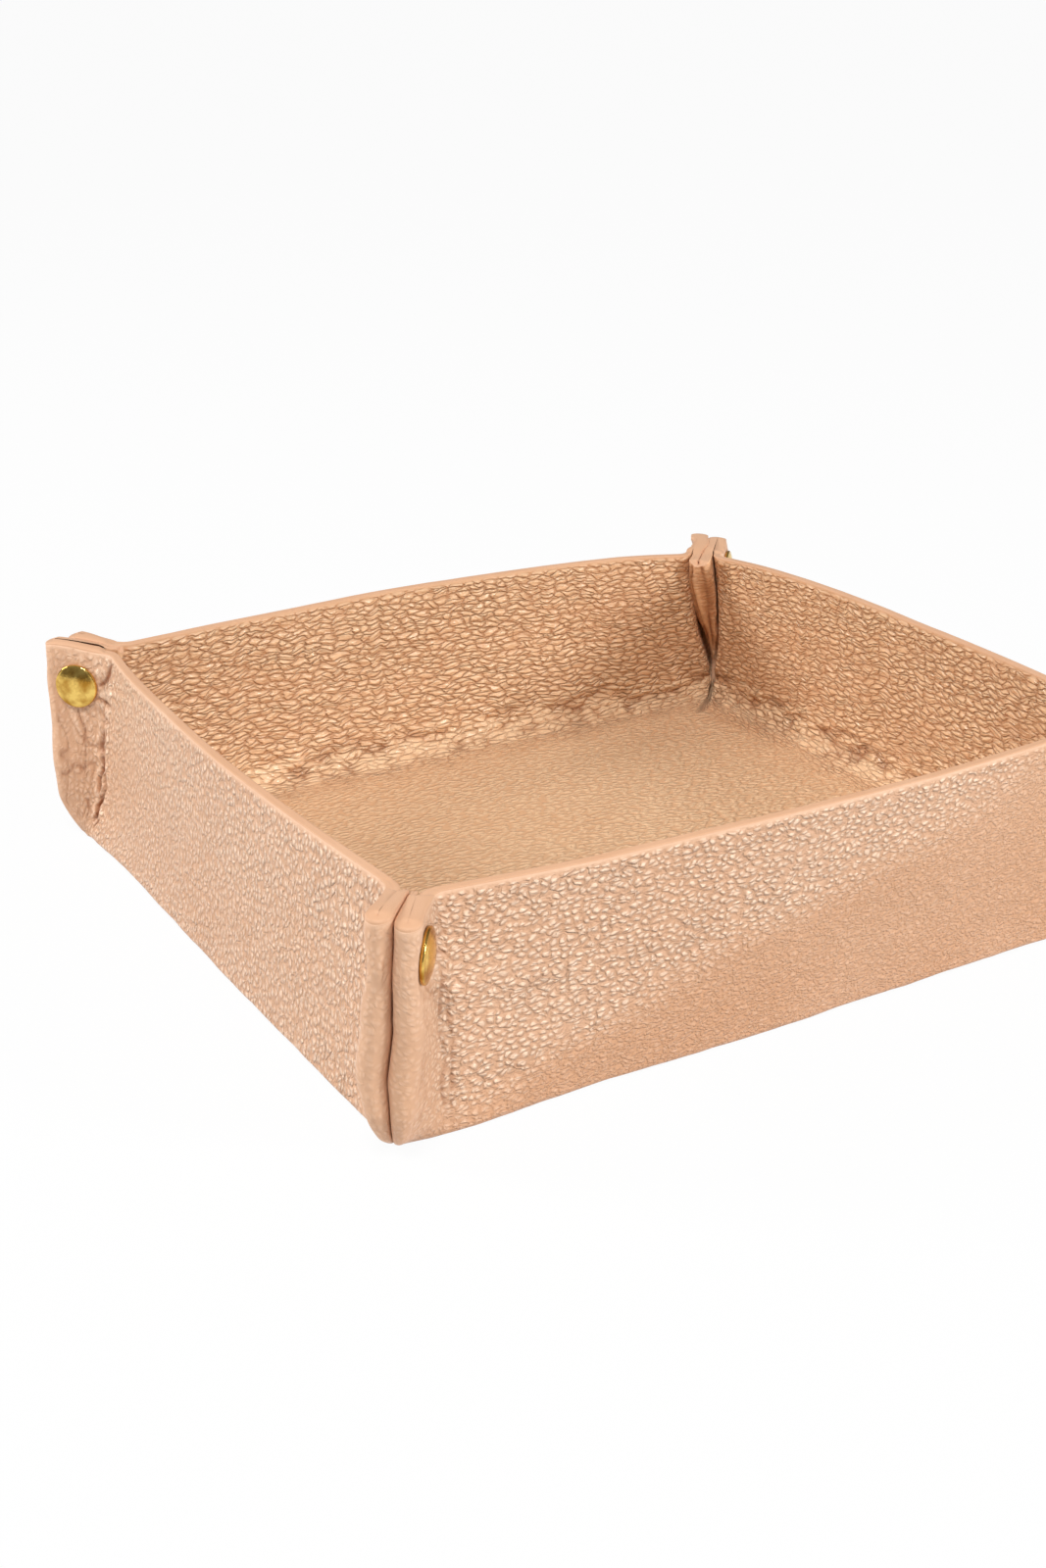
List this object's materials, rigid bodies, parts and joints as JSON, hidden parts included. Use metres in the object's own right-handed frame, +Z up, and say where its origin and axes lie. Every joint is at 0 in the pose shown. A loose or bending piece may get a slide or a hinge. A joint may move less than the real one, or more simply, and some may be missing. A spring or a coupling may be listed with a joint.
{
  "type": "valet tray",
  "caption": "Soft leather catch-all tray: one lined sheet folded up into low bowed walls, its corners pinched outward in double pleats and held by domed rivets.",
  "frame": {"origin": "centre of the floor's underside, on the surface that the tray stands on", "axes": "+X along the longer walls, +Y along the shorter walls towards the back, +Z up"},
  "size_m": [0.239, 0.213, 0.0575],
  "materials": {
    "leather_outer": "pebbled grain, semi-gloss",
    "leather_lining": "pebbled grain, satin",
    "fibre_board": "raw bonded leather board",
    "rivet_brass": "polished"
  },
  "bodies": {
    "root": {"outer_leather": "leather_outer", "lining_leather": "leather_lining", "base_board": "fibre_board", "rivet_post_front_left": "rivet_brass", "rivet_post_front_right": "rivet_brass", "rivet_post_back_right": "rivet_brass", "rivet_post_back_left": "rivet_brass", "rivet_cap_front_left": "rivet_brass", "rivet_cap_front_right": "rivet_brass", "rivet_cap_back_right": "rivet_brass", "rivet_cap_back_left": "rivet_brass"}
  },
  "joints": []
}
